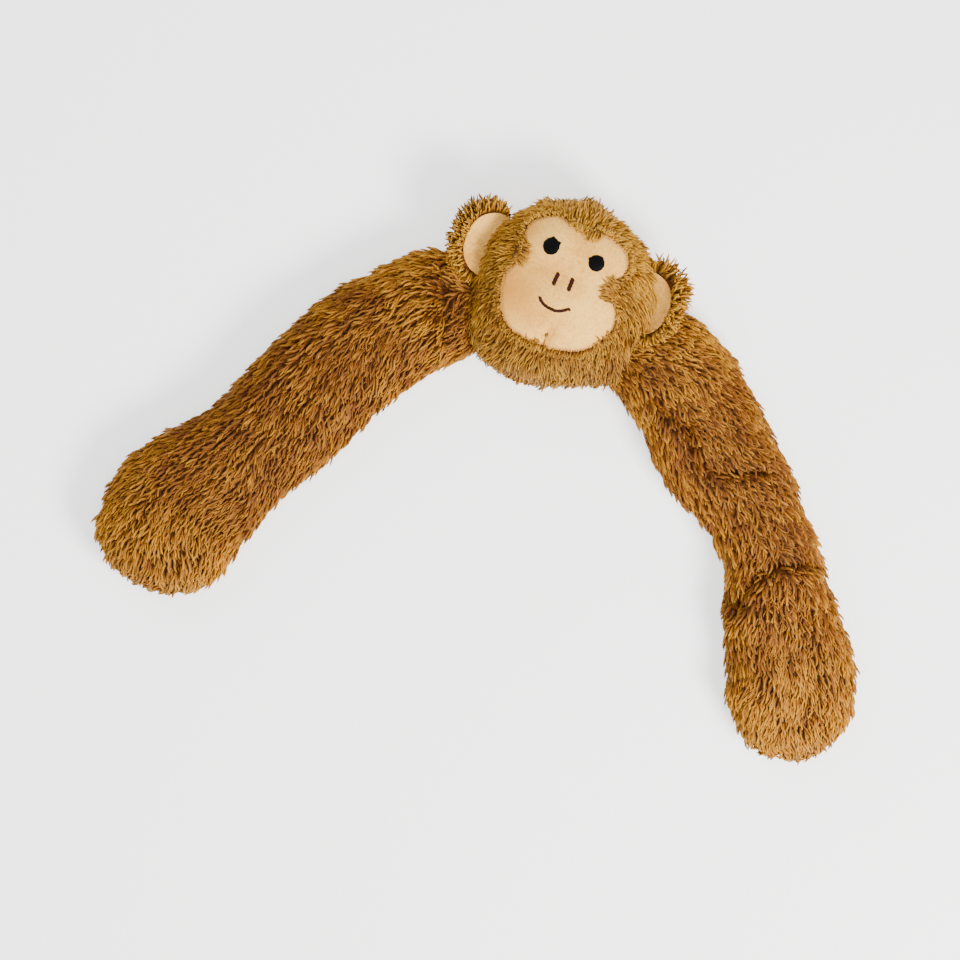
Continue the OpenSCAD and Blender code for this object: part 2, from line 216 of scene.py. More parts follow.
def inflate(obj):
    """Blows the closed cover up as cloth, moving no point further than SWELL."""
    before = points_of(obj)
    mod = obj.modifiers.new("cloth", "CLOTH")
    for setting, value in CLOTH.items():
        setattr(mod.settings, setting, value)
    mod.settings.effector_weights.gravity = 0
    mod.collision_settings.use_collision = False
    mod.point_cache.frame_start = 1
    mod.point_cache.frame_end = SIM_FRAMES
    for number in range(1, SIM_FRAMES + 1):
        bpy.context.scene.frame_set(number)
    apply_modifiers(obj)
    bpy.context.scene.frame_set(1)
    moved = points_of(obj) - before
    far = np.linalg.norm(moved, axis=1, keepdims=True)
    set_points(obj, before + moved * np.minimum(1, SWELL / np.maximum(far, 1e-9)))


def subdivide(obj):
    mod = obj.modifiers.new("subdivision", "SUBSURF")
    mod.levels = mod.render_levels = 1
    apply_modifiers(obj)


def pad(obj):
    """Turns a closed loft into a stuffed cover with an even mesh."""
    remesh(obj, VOXEL)
    inflate(obj)
    subdivide(obj)
    return points_of(obj)


def settle(points):
    """Presses what is below REST_Z flat on it, easing into the flat part over EASE."""
    z = points[:, 2]
    share = np.clip((z - REST_Z) / EASE, -1, 1)
    eased = REST_Z + EASE * ((share + 1) / 2) ** 2
    points[:, 2] = np.where(z > REST_Z + EASE, z, np.maximum(eased, REST_Z))
    return points


# ---------------- head

HEAD_FRONT = 28.0  # depth of the head's backing in front of its seams
HEAD_BACK = 29.5  # depth behind them
HEAD_SEAM_Z = 30.0
# The head's backing seen from the front, anticlockwise from the right ear. It is squarest at the chin.
HEAD_EDGE = [
    (49.5, 2), (48.5, 12), (47, 21), (44.5, 29), (39.8, 35.4), (33.3, 39.6), (25.6, 42.7), (17, 47),
    (8, 50), (0, 51), (-8, 50), (-16, 47), (-23, 43.5), (-30, 38), (-36, 32), (-40.5, 25), (-43, 16),
    (-44, 6), (-44, -5), (-43, -15), (-41, -24), (-38.8, -32.4), (-36.3, -39.7), (-30.6, -44.8),
    (-22, -48.5), (-11, -50.5), (1, -50.5), (12, -48), (21, -44), (30, -40.5), (38, -36.5), (43.5, -31),
    (47.5, -23), (49.5, -14), (50, -6),
]
HUB = np.array([1.0, 5.0])  # the point of the face that its outline is measured from

# The face patch's edge, anticlockwise from the left cheek. The slit under the mouth is a dart.
PATCH_EDGE = np.array([
    (-32.5, -2), (-32.1, -7), (-30.1, -14.2), (-28, -19.8), (-24.3, -25), (-19, -28.7), (-12.7, -30.8),
    (-6.4, -31.7), (-1.1, -31.5), (2, -30.9), (2.6, -30.4), (2.2, -22.2), (4.6, -31.4), (5.4, -32),
    (10.5, -31), (15.7, -29.6), (21, -28), (26.3, -24.5), (30.5, -19.3), (34.1, -14.2), (35.8, -8.1),
    (35.4, -3), (33.8, 1.1), (30.9, 4.6), (27.3, 7.1), (24.9, 10.3), (24, 14.3), (25.1, 16.8), (27.7, 18.6),
    (30.1, 21.2), (31.5, 25.5), (31, 29.2), (28.3, 34), (24.1, 36.9), (18.3, 38.7), (12, 39.8), (7.8, 38.7),
    (4.5, 36.9), (0.5, 35.9), (-3.8, 36.7), (-6.9, 38.5), (-11.1, 39.8), (-16.4, 40.3), (-21.7, 38.2),
    (-26.9, 34), (-29.9, 29.2), (-29.7, 24.5), (-28, 20.4), (-26.8, 17.3), (-25.3, 14.8), (-25.2, 12.1),
    (-27.3, 9.2), (-29.3, 5.1), (-31.4, 1.1),
])


def outline_reach(edge, hub, angle):
    """Distance from the hub to an outline round it at each angle."""
    rel = np.array(edge) - hub
    at = np.arctan2(rel[:, 1], rel[:, 0])
    far = np.hypot(*rel.T)
    order = np.argsort(at)
    at, far = at[order], far[order]
    angle = np.mod(angle + math.pi, 2 * math.pi) - math.pi
    round_at = np.r_[at[-1] - 2 * math.pi, at, at[0] + 2 * math.pi]
    return np.interp(angle, round_at, np.r_[far[-1], far, far[0]])


def patch_reach(angle):
    return outline_reach(PATCH_EDGE, HUB, angle)


def beyond_patch(xy):
    """How far each point lies outside the patch's edge, negative inside it."""
    rel = xy - HUB
    return np.hypot(rel[:, 0], rel[:, 1]) - patch_reach(np.arctan2(rel[:, 1], rel[:, 0]))


def super_fall(share, power):
    return np.maximum(1 - np.abs(share) ** power, 0) ** (1 / power)


def make_head_cover():
    angle = full_turn(96)
    reach = outline_reach(HEAD_EDGE, 0, angle)
    for _ in range(6):
        reach = (np.roll(reach, 1) + 2 * reach + np.roll(reach, -1)) / 4
    rings = []
    for slope in np.radians(np.linspace(4, 176, 45)):
        share = math.sin(slope)
        deep, power = (HEAD_FRONT, 2.3) if slope < math.pi / 2 else (HEAD_BACK, 2.6)
        z = HEAD_SEAM_Z + math.copysign(deep * super_fall(share, power), math.cos(slope))
        rings.append(level(compass(angle) * (reach * share)[:, None], z))
    obj = closed_loft("head_cover", rings)
    points = pad(obj)
    points[:, 2] += smoothstep((points[:, 2] - HEAD_SEAM_Z) / 10) * face_relief(points[:, 0], points[:, 1])
    set_points(obj, settle(points))
    return obj


def face_relief(x, y):
    """How far the head's front stands out under the patch: the pile's depth, and hills and folds."""
    inside = smoothstep(1 - (beyond_patch(np.c_[x, y]) + 1.0) / 5)
    muzzle = np.exp(-(((x - 1) / 27) ** 2 + ((y + 10) / 20) ** 2) * 1.2)
    brow = bell(np.abs(x - 0.5) - 14, 12) * bell(y - 27, 12)
    bridge = bell(x - 1, 30) * bell(y - 11, 6)
    dart = bell(x - 2.4, 2.6) * smoothstep((-13 - y) / 12)
    crease = bell(x + 5 + (y + 12) * 0.42, 1.7) * bell(y + 15, 4.5)
    return inside * (PILE + 4.5 * muzzle + 1.4 * brow - 1.6 * bridge - 2.2 * dart - 0.7 * crease)


def surface_reader(obj):
    """Returns a function that gives the height of obj's upper surface at each x, y."""
    obj.data.calc_loop_triangles()
    tree = BVHTree.FromPolygons(
        [tuple(v) for v in points_of(obj)], [tuple(t.vertices) for t in obj.data.loop_triangles])

    def height(xy):
        out = np.empty(len(xy))
        for i, (x, y) in enumerate(xy):
            hit = tree.ray_cast(Vector((float(x), float(y), 200)), Vector((0, 0, -1)))
            out[i] = hit[0].z if hit[0] else HEAD_SEAM_Z
        return out

    return height


def blanket(name, xy_rings, height, low, high, rim=0.0):
    """A thin closed sheet over a surface. xy_rings run from the middle out.

    The top is high above the surface and the underside low above it; the edge turns down by rim."""
    around = len(xy_rings[0])
    flat = np.concatenate([xy_rings[0].mean(0, keepdims=True), *xy_rings])
    z = height(flat)
    lift = np.full(len(flat), float(high))
    lift[1 + (len(xy_rings) - 1) * around:] -= rim
    top = np.c_[flat, z + lift]
    bottom = np.c_[flat, z + low]
    layer = len(flat)
    faces = []
    for j in range(around):
        k = (j + 1) % around
        faces += [(0, 1 + j, 1 + k), (layer, layer + 1 + k, layer + 1 + j)]
        for i in range(len(xy_rings) - 1):
            a, b = 1 + i * around, 1 + (i + 1) * around
            faces.append((a + j, b + j, b + k, a + k))
            faces.append((layer + a + j, layer + a + k, layer + b + k, layer + b + j))
        edge = 1 + (len(xy_rings) - 1) * around
        faces.append((edge + j, layer + edge + j, layer + edge + k, edge + k))
    return poly_mesh(name, np.r_[top, bottom], faces)


def make_patch(height):
    angle = full_turn(360)
    reach = compass(angle) * patch_reach(angle)[:, None]
    shares = np.r_[np.linspace(0.04, 0.92, 26), 0.955, 0.98, 1.0]
    return blanket("face_cloth", [HUB + reach * s for s in shares], height, -0.4, 1.3, 0.9)


# ---------------- embroidery

EYE_DOME = 1.15  # how far an eye's middle stands above its edge
EYE_THREAD = 0.62  # pitch of an eye's stitches
LINE_PITCH = 0.22  # pitch of the rings that a stitched line is made of
LINE_SIDES = 10  # corners of each ring


def make_eye(name, centre, half_w, half_h, nubs, height):
    """A domed satin-stitched oval with ribs of thread. nubs are the places where a stitch sticks out."""
    steps, count = 72, 14
    angle = full_turn(steps)
    edge = 1 + 0.012 * np.sin(angle * 5 + centre[0]) + 0.012 * np.sin(angle * 11 + 1)
    for at, out in nubs:
        turn = np.angle(np.exp(1j * (angle - math.radians(at))))
        edge += out * bell(turn, 0.16)
    oval = compass(angle) * (half_w, half_h) * edge[:, None]
    shares = np.linspace(0.08, 1, count)
    obj = blanket(name, [np.array(centre) + oval * s for s in shares], height, 0.9, 1.3)
    points = points_of(obj)
    layer = len(points) // 2
    share = np.r_[0, np.repeat(shares, steps)]
    rib = 0.16 * np.abs(np.sin((points[:layer, 0] * 0.35 + points[:layer, 1]) * math.pi / EYE_THREAD))
    points[:layer, 2] += EYE_DOME * np.sqrt(np.maximum(1 - share ** 2.4, 0)) + rib * (share < 0.99)
    set_points(obj, points)
    return obj


def make_stitch_line(name, paths, width, height):
    """Runs of close slanted stitches along paths of x, y."""
    points, faces = [], []
    for path in paths:
        path = np.array(path, float)
        along = distance_along(path)
        count = int(along[-1] / LINE_PITCH)
        at = np.linspace(0, along[-1], count)
        track = smooth_track(path, along, at, 10)
        way = unit(np.gradient(track, axis=0))
        side = left_of(way)[:, :2]
        ends = np.minimum(at, along[-1] - at)
        half = width / 2 * np.sqrt(np.clip(ends / 0.7, 0.25, 1)) * (1 + 0.1 * np.sin(at * 3.1))
        tall = 0.75 + 0.12 * np.sin(at * 2 * math.pi / 0.75)
        base = height(track) + 1.25
        first = len(points)
        for i in range(count):
            for t in full_turn(LINE_SIDES):
                xy = track[i] + side[i] * half[i] * math.cos(t) + way[i] * 0.25 * math.cos(t)
                points.append((xy[0], xy[1], base[i] + tall[i] * max(math.sin(t), -0.45)))
        for i in range(count - 1):
            for j in range(LINE_SIDES):
                k = (j + 1) % LINE_SIDES
                a, b = first + i * LINE_SIDES, first + (i + 1) * LINE_SIDES
                faces.append((a + j, b + j, b + k, a + k))
        faces.append(tuple(range(first, first + LINE_SIDES)))
        last = first + (count - 1) * LINE_SIDES
        faces.append(tuple(reversed(range(last, last + LINE_SIDES))))
    return poly_mesh(name, points, faces)


# ---------------- arms

# Middle line and half width of each arm's backing, from inside the head to the tip of the hand.
ARM_TRACK = {
    "left": [
        (-36, -12, 15.8), (-45.5, -19.6, 24.2), (-53, -26, 29.7), (-63.6, -32.9, 33.1),
        (-75.4, -43.6, 32.8), (-92.5, -64.5, 33.9), (-103.9, -83, 34), (-114.6, -104.2, 33.9),
        (-122.4, -127.1, 32.5), (-135.5, -146, 31.9), (-144.7, -170.2, 34.1), (-158.3, -186.6, 40.4),
        (-163.1, -205, 41), (-161.7, -215, 38.2), (-159, -243, 34.8),
    ],
    "right": [
        (38, -10, 15.8), (47, -11.2, 23.4), (57.1, -10.4, 27.6), (68.8, -12.9, 29.5),
        (87.8, -24.1, 30.7), (104, -39.5, 32.2), (117.3, -53.6, 32.6), (138.1, -65.9, 29),
        (155.9, -82.4, 24.2), (172.7, -100.3, 25.6), (181.2, -117.6, 28.5), (191.2, -136.5, 31.9),
        (204.8, -151.1, 34.6), (211.4, -168, 35.1), (217.5, -201.5, 28.8),
    ],
}
ARM_FRONT = 18.0  # depth of an arm's backing above its seams
ARM_BACK = 18.5  # depth below them
ARM_SEAM_Z = 20.0
TIP_ROUND = 32.0  # length over which a hand's end rounds off


class Arm:
    """An arm's middle line, sampled evenly, and where its joints lie along it."""

    def __init__(self, side):
        self.side = side
        rows = np.array(ARM_TRACK[side], float)
        along = distance_along(rows[:, :2])
        even = np.linspace(0, along[-1], int(along[-1] / 2))
        rows = smooth_track(rows, along, even, 40)
        self.mid = rows[:, :2]
        self.half_w = rows[:, 2]
        self.s = distance_along(self.mid)
        self.way = unit(np.gradient(self.mid, axis=0))
        self.length = self.s[-1]
        self.shoulder = self.reach(JOINTS[f"{side}_shoulder_swing"])
        self.elbow = self.reach(JOINTS[f"{side}_elbow_bend"])
        self.wrist = self.reach(JOINTS[f"{side}_wrist_fold"])

    def reach(self, point):
        return self.s[np.argmin(np.hypot(*(self.mid - point[:2]).T))]

    def at(self, s):
        mid = np.array([np.interp(s, self.s, self.mid[:, k]) for k in (0, 1)])
        way = np.array([np.interp(s, self.s, self.way[:, k]) for k in (0, 1)])
        return mid, way / np.linalg.norm(way)

    def locate(self, points):
        """Distance along the middle line and across it, and its direction, for each point."""
        gap = points[:, None, :2] - self.mid[None]
        near = np.argmin((gap ** 2).sum(2), axis=1)
        way = self.way[near]
        rel = points[:, :2] - self.mid[near]
        return self.s[near] + (rel * way).sum(1), way[:, 0] * rel[:, 1] - way[:, 1] * rel[:, 0], way


def make_arm_cover(arm):
    rings = []
    round_off = arm.length - TIP_ROUND
    ends = round_off + TIP_ROUND * np.sin(np.radians(np.linspace(6, 87, 14)))
    for s in np.r_[np.linspace(0, round_off, 90), ends]:
        mid, way = arm.at(s)
        side = np.array([-way[1], way[0]])
        half_w = np.interp(s, arm.s, arm.half_w)
        share = super_fall(np.clip((s - round_off) / TIP_ROUND, 0, 1), 2.15)
        thick = share * (0.6 + 0.4 * smoothstep(s / 30))
        flat = super_section(half_w * share, ARM_FRONT * thick, ARM_BACK * thick, 2.2, 2.5)
        rings.append([(*(mid + side * x), ARM_SEAM_Z + z) for x, z in flat])
    obj = closed_loft(f"{arm.side}_arm_cover", rings)
    points = pad(obj)
    lumps = lattice_noise(points, 22, 3 + len(arm.side)) * 1.3 + lattice_noise(points, 9, 5) * 0.45
    points += vertex_vectors(obj, "normal") * lumps[:, None]
    for crease in CREASES[arm.side]:
        points = press_crease(points, *crease)
    set_points(obj, settle(points))
    return obj


def press_crease(points, path, depth, width, step):
    """Presses a groove into the upper side along path. step raises what lies to the left of the path."""
    path = np.array(path, float)
    best = np.full(len(points), 1e9)
    left = np.zeros(len(points))
    for a, b in zip(path[:-1], path[1:]):
        run = b - a
        share = np.clip(((points[:, :2] - a) @ run) / (run @ run), 0, 1)
        rel = points[:, :2] - a - share[:, None] * run
        far = np.hypot(*rel.T)
        nearer = far < best
        left = np.where(nearer, np.sign(run[0] * rel[:, 1] - run[1] * rel[:, 0]), left)
        best = np.minimum(best, far)
    top = smoothstep((points[:, 2] - ARM_SEAM_Z) / 10)
    groove = bell(best, width)
    raised = step * np.exp(-best / 16) * (1 - groove) * (left > 0)
    points[:, 2] += top * (raised - depth * groove)
    return points


PART_NAMES = ("shoulder", "upper_arm", "elbow", "hand")
LOCK_SHARE = 0.76  # share of the arms' locks that are long; the others are a short undercoat
LOCK = 9.0  # usual length of an arm's long locks
UNDERCOAT = 5.2  # length of the short ones between them
HEAD_LOCK = 8.6  # usual length of the head's locks
COLLAR_LOCKS = 1100  # locks that stand round the face patch
NAP_LOCKS = 2200  # short fibres of the patch's own edge
JITTER = 0.33  # how far a lock stands from the middle of its face, as a share of the face's size
BRUSHED = {"left": 0.6, "right": 0.22}  # how strongly an arm's pile is brushed across
COMBED = {"left": 0.45, "right": 1.0}  # how strongly a forearm's pile lies in rows
ROW_PITCH = 3.8  # distance from one row of combed pile to the next

# Painted shade where the pile is darker, mostly in folds: x, y, how far, how much
SHADED = {
    "left": [(-64, -20, 7, 0.4), (-59, -32, 8, 0.4), (-50, -46, 9, 0.4), (-44, -30, 12, 0.35)],
    "right": [
        (66, -30, 12, 0.45), (69, -18, 8, 0.4), (84, -42, 6, 0.4), (97, -46, 6, 0.5), (107, -59, 6, 0.5),
        (120, -64, 6, 0.4), (136, -60, 6, 0.35), (176, -93, 11, 0.35), (149, -130, 9, 0.45),
        (188, -153, 13, 0.2),
    ],
}

# Where a fold ends and the locks fan out from it: x, y, how far, how strongly
FOLD_ENDS = {
    "left": [(-58, -24, 16, 0.9)],
    "right": [(172, -97, 14, 0.7), (96, -45, 12, 0.6)],
}

# Creases across the arms' upper sides: path, depth, width, and how far its left side stands up
CREASES = {
    "left": [
        ([(-67, -10), (-61.5, -23), (-57, -35), (-52, -48)], 4.5, 3.2, 0),
        ([(-84, -60), (-97, -50)], 1.2, 3.0, 0),
    ],
    "right": [
        ([(70, -37), (84, -41), (96.5, -45), (103, -54), (111, -64), (127, -63), (146, -54)],
         4.6, 2.8, 2.6),
        ([(208, -92), (198, -93.5), (186.5, -96.5), (175, -102), (168, -110), (165, -122), (164, -136)],
         4.5, 3.2, 5.0),
        ([(145, -106), (150, -116), (157, -125), (165, -134)], 4.0, 2.6, 2.0),
    ],
}

# ---------------- fur

STATIONS = np.array([0.0, 0.3, 0.6, 0.84, 1.0])  # rings along a lock, the last of them its tip
LEVELS = len(STATIONS) - 1
TIP = LEVELS * 3  # number of a lock's last point
STRIP = 0.008  # half the width that a lock takes up in its colour map
SIDE_SHADE = 0.3  # painted shade: how much nearer to its root's colour a lock's flanks are than its ridge


def lock_faces():
    """The triangles of one lock, and the station that each of their corners is at."""
    tris = [(0, 2, 1)]
    for i in range(LEVELS - 1):
        for j in range(3):
            k = (j + 1) % 3
            a, b = i * 3, i * 3 + 3
            tris += [(a + j, a + k, b + k), (a + j, b + k, b + j)]
    tris += [(TIP - 3 + j, TIP - 3 + (j + 1) % 3, TIP) for j in range(3)]
    return np.array(tris), np.array(tris) // 3


def grow(name, root, normal, flow, length, radius, tone, lift, wave=0.7, curl=0.0):
    """Locks of pile as closed, tapered, wavy three-sided tufts.

    flow is the way they lie, lift how upright they stand (0 to 1), tone their brightness (0 to 1)."""
    count = len(root)
    flow = unit(flow - normal * (flow * normal).sum(1, keepdims=True))
    side = np.cross(normal, flow)
    phase = random.uniform(0, 2 * math.pi, count)
    pitch = random.uniform(0.7, 1.25, count) * 2 * math.pi
    spread = random.normal(0, 1, count)
    rings = []
    centre = root - normal * 0.5
    last = 0.0
    for t in STATIONS:
        lean = (1 - lift) * (0.45 + 0.75 * t) + lift * 0.35 * t
        angle = np.clip(lean, 0, 1) * math.pi / 2
        way = normal * np.cos(angle)[:, None] + flow * np.sin(angle)[:, None]
        centre = centre + way * ((t - last) * length)[:, None]
        last = t
        sway = wave * np.sin(phase + pitch * t) * (0.25 + t) + spread * curl * t * t
        middle = centre + side * sway[:, None]
        if t == 1.0:
            rings.append(middle[:, None])
            break
        thick = radius * (1.0 + 0.25 * math.sin(math.pi * t)) * (1 - 0.5 * t ** 3)
        across = np.cross(way, side)
        corners = [middle + (side * math.cos(a) + across * 0.8 * math.sin(a)) * thick[:, None]
                   for a in (math.pi / 2, math.pi * 7 / 6, math.pi * 11 / 6)]
        rings.append(np.stack(corners, 1))
    points = np.concatenate(rings, 1)
    points[..., 2] = np.maximum(points[..., 2], FLOOR_GAP + random.uniform(0, 0.5, count)[:, None])
    tris, station = lock_faces()
    all_tris = (tris[None] + (np.arange(count) * (TIP + 1))[:, None, None]).reshape(-1, 3)
    corner = np.where(tris == TIP, 0, tris % 3)
    u = tone[:, None, None] * (1 - 4 * STRIP) + 2 * STRIP + (corner[None] - 1) * STRIP
    # Painted shade: a lock's flanks take a colour nearer its root's than its ridge does.
    along = STATIONS[station] * np.where(corner == 0, 1.0, SIDE_SHADE)
    v = np.broadcast_to(along[None], u.shape)
    uv = np.stack([u, v * 0.98 + 0.01], -1).reshape(-1, 2)
    return tri_mesh(name, points.reshape(-1, 3), all_tris, uv)


def tri_mesh(name, points, tris, uv):
    mesh = bpy.data.meshes.new(name)
    mesh.vertices.add(len(points))
    mesh.vertices.foreach_set("co", (points * MM).astype(np.float32).ravel())
    mesh.loops.add(len(tris) * 3)
    mesh.loops.foreach_set("vertex_index", tris.astype(np.int32).ravel())
    mesh.polygons.add(len(tris))
    mesh.polygons.foreach_set("loop_start", np.arange(0, len(tris) * 3, 3, dtype=np.int32))
    mesh.update(calc_edges=True)
    layer = mesh.uv_layers.new(name="OFBake")
    layer.data.foreach_set("uv", uv.astype(np.float32).ravel())
    mesh.shade_smooth()
    return add_object(name, mesh)


def face_roots(obj, jitter, per_face=1):
    """A point near the middle of each face and its normal, per_face times."""
    mesh = obj.data
    count = len(mesh.polygons)
    centre, normal = np.empty((2, count * 3), np.float32)
    area = np.empty(count, np.float32)
    mesh.polygons.foreach_get("center", centre)
    mesh.polygons.foreach_get("normal", normal)
    mesh.polygons.foreach_get("area", area)
    centre = np.repeat(centre.reshape(-1, 3).astype(float) / MM, per_face, 0)
    normal = np.repeat(normal.reshape(-1, 3).astype(float), per_face, 0)
    size = np.repeat(np.sqrt(area.astype(float)) / MM, per_face)
    push = random.normal(0, 1, centre.shape) * (size * jitter)[:, None]
    push -= normal * (push * normal).sum(1, keepdims=True)
    return centre + push, normal


def tone_of(points, base):
    """Brightness of each lock: base, varied in patches and from lock to lock."""
    patchy = lattice_noise(points, 14, 11) * 0.2 + lattice_noise(points, 5, 12) * 0.22
    return np.clip(base + patchy + random.normal(0, 0.2, len(points)), 0, 1)


CRUSHED_LIFT = 0.02  # how upright the pile stands that the toy lies on


def crushed(root, normal):
    """True where a lock is pressed flat under the toy."""
    return (root[:, 2] < REST_Z + 1.2) & (normal[:, 2] < -0.6)


def grow_arm(arm, cover):
    root, normal = face_roots(cover, JITTER)
    s, across, way = arm.locate(root)
    root, normal, s, across, way = (a[s > 4] for a in (root, normal, s, across, way))
    undercoat = random.uniform(0, 1, len(root)) > LOCK_SHARE
    off_middle = across / np.interp(s, arm.s, arm.half_w)
    fan = 0.18 + 0.35 * smoothstep((s - arm.wrist - 20) / 40)
    flow = level(way) + left_of(way) * (fan * off_middle)[:, None]
    swirl = lattice_noise(root, 17, 21) * 0.35 + lattice_noise(root, 6, 22) * 0.25
    swirl += brushed(arm, s, off_middle) + random.normal(0, 0.14, len(root))
    combed, row_top, to_row = comb(arm, root, s, across)
    swirl = swirl * (1 - 0.6 * combed) + 0.45 * combed * to_row
    flow += left_of(way) * swirl[:, None] + fanned(root, arm.side)
    ridge = combed * row_top
    length = LOCK * (1 + 0.22 * random.normal(0, 1, len(root))) * (1 + 0.15 * lattice_noise(root, 11, 23))
    length = np.where(undercoat, UNDERCOAT, np.clip(length * (1 + 0.12 * ridge), 4.5, 12))
    radius = random.uniform(0.78, 1.15, len(root))
    # Painted shade, darker in the folds listed in SHADED.
    shade = sum(deep * bell(np.hypot(root[:, 0] - x, root[:, 1] - y), far)
                for x, y, far, deep in SHADED[arm.side])
    # Brightness of each lock: arm_tone's painted shade and highlight, painted shade in the folds, a darker
    # undercoat, and a painted highlight on the tops of the combed rows with painted shade between them.
    bright = arm_tone(s, off_middle, arm) - shade - 0.25 * undercoat + 0.32 * ridge - 0.1 * combed
    tone = tone_of(root, bright)
    lift = 0.15 + 0.14 * bell(normal[:, 2] - 0.1, 0.35) + 0.16 * lattice_noise(root, 8, 24) + 0.07 * ridge
    lift += random.normal(0, 0.08, len(root))
    lift = np.where(crushed(root, normal), CRUSHED_LIFT, np.clip(lift, 0, 0.7))
    cuts = arm_cuts(arm)
    pieces = []
    for part, lo, hi in zip(PART_NAMES, cuts[:-1], cuts[1:]):
        pick = (s >= lo) & (s < hi)
        locks = (a[pick] for a in (root, normal, flow, length, radius, tone, lift))
        pieces.append(grow(f"{arm.side}_{part}_fur", *locks, 0.75, 0.5))
    return pieces


def brushed(arm, s, across):
    """How strongly the pile is brushed across the arm to the viewer's right. Its left edge is not brushed."""
    before_hand = 1 - smoothstep((s - arm.wrist + 18) / 30)
    after_neck = smoothstep((s - arm.shoulder) / 25)
    return BRUSHED[arm.side] * smoothstep((across + 0.9) / 1.1) * before_hand * after_neck


def comb(arm, root, s, across):
    """Rows of pile along a forearm: how strongly each lock is combed, where it stands between two rows (-1)
    and the top of one (1), and which way across the arm the nearest top lies."""
    forearm = smoothstep((s - arm.elbow + 28) / 26) * (1 - smoothstep((s - arm.wrist - 2) / 16))
    phase = 2 * math.pi * across / ROW_PITCH + 2.2 * lattice_noise(root, 26, 25)
    return COMBED[arm.side] * forearm, np.cos(phase), -np.sin(phase)


def fanned(root, side):
    """Way in which locks spread out from the ends of the folds, and how strongly."""
    total = np.zeros((len(root), 3))
    for x, y, far, strength in FOLD_ENDS[side]:
        rel = level(root[:, :2] - (x, y))
        total += unit(rel) * (strength * bell(np.linalg.norm(rel, axis=1), far))[:, None]
    return total


def arm_tone(s, across, arm):
    """Brighter at the hand and near the shoulder, darker along the middle of the arm: painted shade along the
    middle and in the neck's gap by the head, and a painted highlight along the arm's edges.
    """
    middle = smoothstep((s - arm.shoulder - 8) / 34) * (1 - smoothstep((s - arm.wrist - 20) / 50))
    edge = smoothstep((np.abs(across) - 0.5) / 0.5)
    neck = 1 - smoothstep((s - arm.shoulder + 4) / 16)
    return 0.74 - 0.52 * middle + 0.18 * edge - 0.4 * neck


def arm_cuts(arm):
    """Where along the arm its cover is cut into pieces, one for each joint."""
    return [-50, arm.shoulder + 26, arm.shoulder + 56, (arm.elbow + arm.wrist) / 2 + 2, arm.length + 50]


def head_flow(root):
    """Out from the face and down, but up at the crown."""
    away = unit(root[:, :2] - (1.0, 8.0))
    crown = bell(root[:, 0] + 2, 12) * bell(root[:, 1] - 48, 10)
    down = -0.55 * (1 - crown)
    return unit(np.c_[away[:, 0], away[:, 1] + down + 1.2 * crown, np.zeros(len(root))])


def head_tone(y):
    return 0.34 + 0.6 * smoothstep((y + 10) / 58)


def grow_head(cover):
    root, normal = face_roots(cover, JITTER, 2)
    outside = beyond_patch(root[:, :2])
    under_patch = (normal[:, 2] > 0.05) & (root[:, 2] > HEAD_SEAM_Z + 6) & (outside < 0.3)
    every_second = np.arange(len(root)) % 2 == 0
    keep = ~under_patch & (~crushed(root, normal) | every_second)
    root, normal, outside = (a[keep] for a in (root, normal, outside))
    count = len(root)
    flow = head_flow(root)
    back = normal[:, 2] < -0.2
    flow[back] = unit(flow[back] * 0.5 + np.array([0, -1.0, 0]))
    swirl = lattice_noise(root, 12, 31) * 0.5 + lattice_noise(root, 5, 32) * 0.45
    swirl += random.normal(0, 0.2, count)
    flow = flow + np.cross(normal, flow) * swirl[:, None]
    length = HEAD_LOCK * (1 + 0.2 * random.normal(0, 1, count) + 0.2 * lattice_noise(root, 6, 33))
    crown = bell(root[:, 0] - 2, 10) * bell(root[:, 1] - 48, 8)
    right = smoothstep((root[:, 0] - 36) / 8)
    near = np.exp(-np.maximum(outside, 0) / 2.5) * (normal[:, 2] > 0)
    length *= 1 + 0.15 * crown + 0.3 * right - 0.3 * near
    radius = random.uniform(0.55, 0.9, count)
    tone = tone_of(root, head_tone(root[:, 1]))
    lift = 0.28 + 0.2 * crown + 0.4 * near + 0.2 * lattice_noise(root, 7, 34) + random.normal(0, 0.12, count)
    lift = np.where(crushed(root, normal), CRUSHED_LIFT, np.clip(lift, 0.05, 0.85))
    front = root[:, 2] >= HEAD_SEAM_Z
    pieces = []
    for name, pick in (("head_front_fur", front), ("head_back_fur", ~front)):
        locks = (a[pick] for a in (root, normal, flow, length, radius, tone, lift))
        pieces.append(grow(name, *locks, 0.45, 0.5))
    return pieces


# Tufts that lie over the patch's edge: middle, direction, spread across, how many, length
FRINGES = [
    ((2.5, 40.5), (-0.25, -1.0), 9.0, 70, 8.0),
    ((28.5, 11.5), (-1.0, 0.1), 6.0, 60, 8.5),
    ((-29.5, 13.5), (1.0, -0.1), 6.0, 60, 8.5),
    ((-31.5, 20.0), (0.9, -0.45), 4.0, 24, 7.0),
    ((-34.5, -14.0), (0.6, 0.2), 9.0, 30, 6.0),
    ((1.0, -33.5), (0.1, 0.6), 14.0, 46, 5.0),
    ((33.0, -20.0), (-0.5, 0.2), 8.0, 30, 5.5),
]


